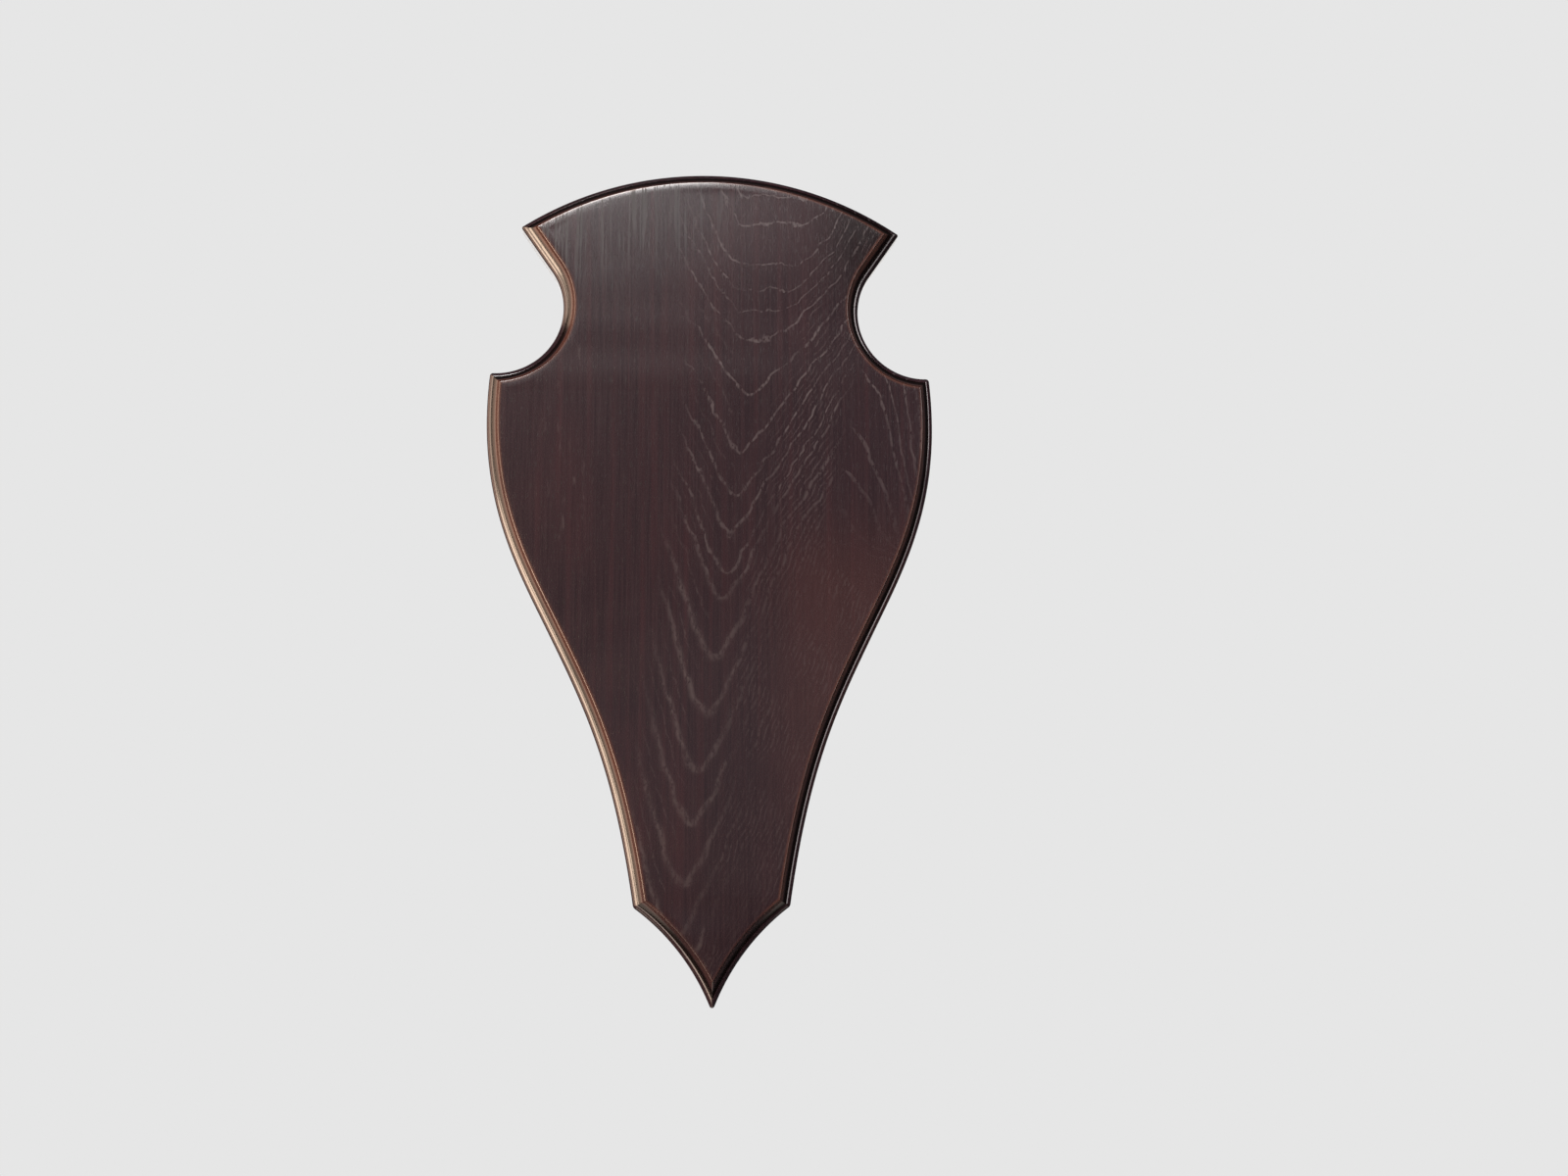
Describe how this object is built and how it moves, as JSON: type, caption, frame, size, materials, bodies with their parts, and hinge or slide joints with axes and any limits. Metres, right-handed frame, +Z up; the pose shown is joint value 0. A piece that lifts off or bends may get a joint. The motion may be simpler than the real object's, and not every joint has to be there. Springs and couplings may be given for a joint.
{
  "type": "antler mounting plaque",
  "caption": "Shield-shaped solid oak wall plaque with an arched top, notched shoulders, a pointed foot and a routed edge, for mounting antlers; a keyhole slot in its back hangs it.",
  "frame": {"origin": "on the flat back, at the place in the keyhole slot where the shank of the wall screw rests, 460 mm above the bottom tip on the centre line", "axes": "+Z up towards the arched crown; -Y out of the face into the room; +Y into the wall; +X to the right as seen from the front"},
  "size_m": [0.2792, 0.02, 0.5195],
  "materials": {
    "stained_oak": "dark brown stained oak under satin lacquer"
  },
  "bodies": {
    "root": {"plaque_board": "stained_oak"}
  },
  "joints": []
}
